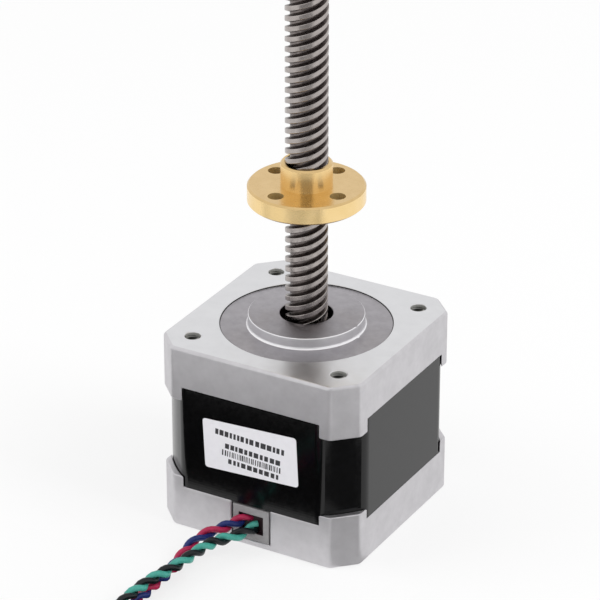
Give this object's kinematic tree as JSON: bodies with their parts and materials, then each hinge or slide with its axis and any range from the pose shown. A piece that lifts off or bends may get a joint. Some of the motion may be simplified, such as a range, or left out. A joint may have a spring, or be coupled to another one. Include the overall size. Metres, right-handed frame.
{
  "type": "lead screw stepper motor",
  "caption": "Square-frame stepper motor whose shaft is a multi-start lead screw that drives a flanged brass nut, with a round pilot, threaded mounting holes and twisted leads.",
  "frame": {"origin": "middle of the motor's rear face", "axes": "+Z along the lead screw towards its free end, -Y towards the side with the label and the leads"},
  "size_m": [0.0592, 0.1178, 0.138],
  "materials": {
    "cast_aluminium": "satin, die-cast with machined faces",
    "black_laminations": "satin black coated steel laminations",
    "screw_steel": "rolled thread, lightly oiled",
    "brass_nut": "turned and polished",
    "bearing_steel": "ground",
    "moulded_insulator": "moulded nylon",
    "copper_winding": "enamelled copper wire",
    "fastener_steel": "zinc plated",
    "rotor_steel": "ground lamination stack",
    "rotor_magnet": "nickel plated magnet",
    "exit_plastic": "moulded",
    "circuit_board": "solder mask",
    "pin_brass": "tinned",
    "label_paper": "matt film",
    "lead_covering": "coloured wire insulation",
    "tie_band": "plain"
  },
  "bodies": {
    "motor": {"front_end_cap": "cast_aluminium", "rear_end_cap": "cast_aluminium", "stator_core": "black_laminations", "front_insulator": "moulded_insulator", "rear_insulator": "moulded_insulator", "phase_a_coils": "copper_winding", "phase_b_coils": "copper_winding", "tie_screws": "fastener_steel", "front_bearing_outer_ring": "bearing_steel", "front_bearing_shields": "bearing_steel", "rear_bearing_outer_ring": "bearing_steel", "rear_bearing_shields": "bearing_steel", "wave_washer": "fastener_steel", "lead_exit_bush": "exit_plastic", "terminal_board": "circuit_board", "terminal_pins": "pin_brass", "rating_label": "label_paper", "lead_bundle": "lead_covering", "lead_coil": "lead_covering", "lead_tie": "tie_band"},
    "rotor": {"lead_screw": "screw_steel", "front_rotor_core": "rotor_steel", "rear_rotor_core": "rotor_steel", "rotor_magnet": "rotor_magnet", "front_spacer": "fastener_steel", "rear_spacer": "fastener_steel", "front_bearing_inner_ring": "bearing_steel", "rear_bearing_inner_ring": "bearing_steel"},
    "nut": {"travelling_nut": "brass_nut"}
  },
  "joints": [
    {"name": "rotor_spin", "type": "hinge", "parent": "motor", "child": "rotor", "pos_m": [0, 0, 0.019], "axis": [0, 0, 1], "range_deg": [-2700, 900]},
    {"name": "nut_travel", "type": "slide", "parent": "motor", "child": "nut", "axis": [0, 0, 1], "range_m": [-0.0201, 0.0601]}
  ],
  "couplings": [
    {"joint": "nut_travel", "follows": "rotor_spin", "m_per_rad": -0.0012732}
  ]
}
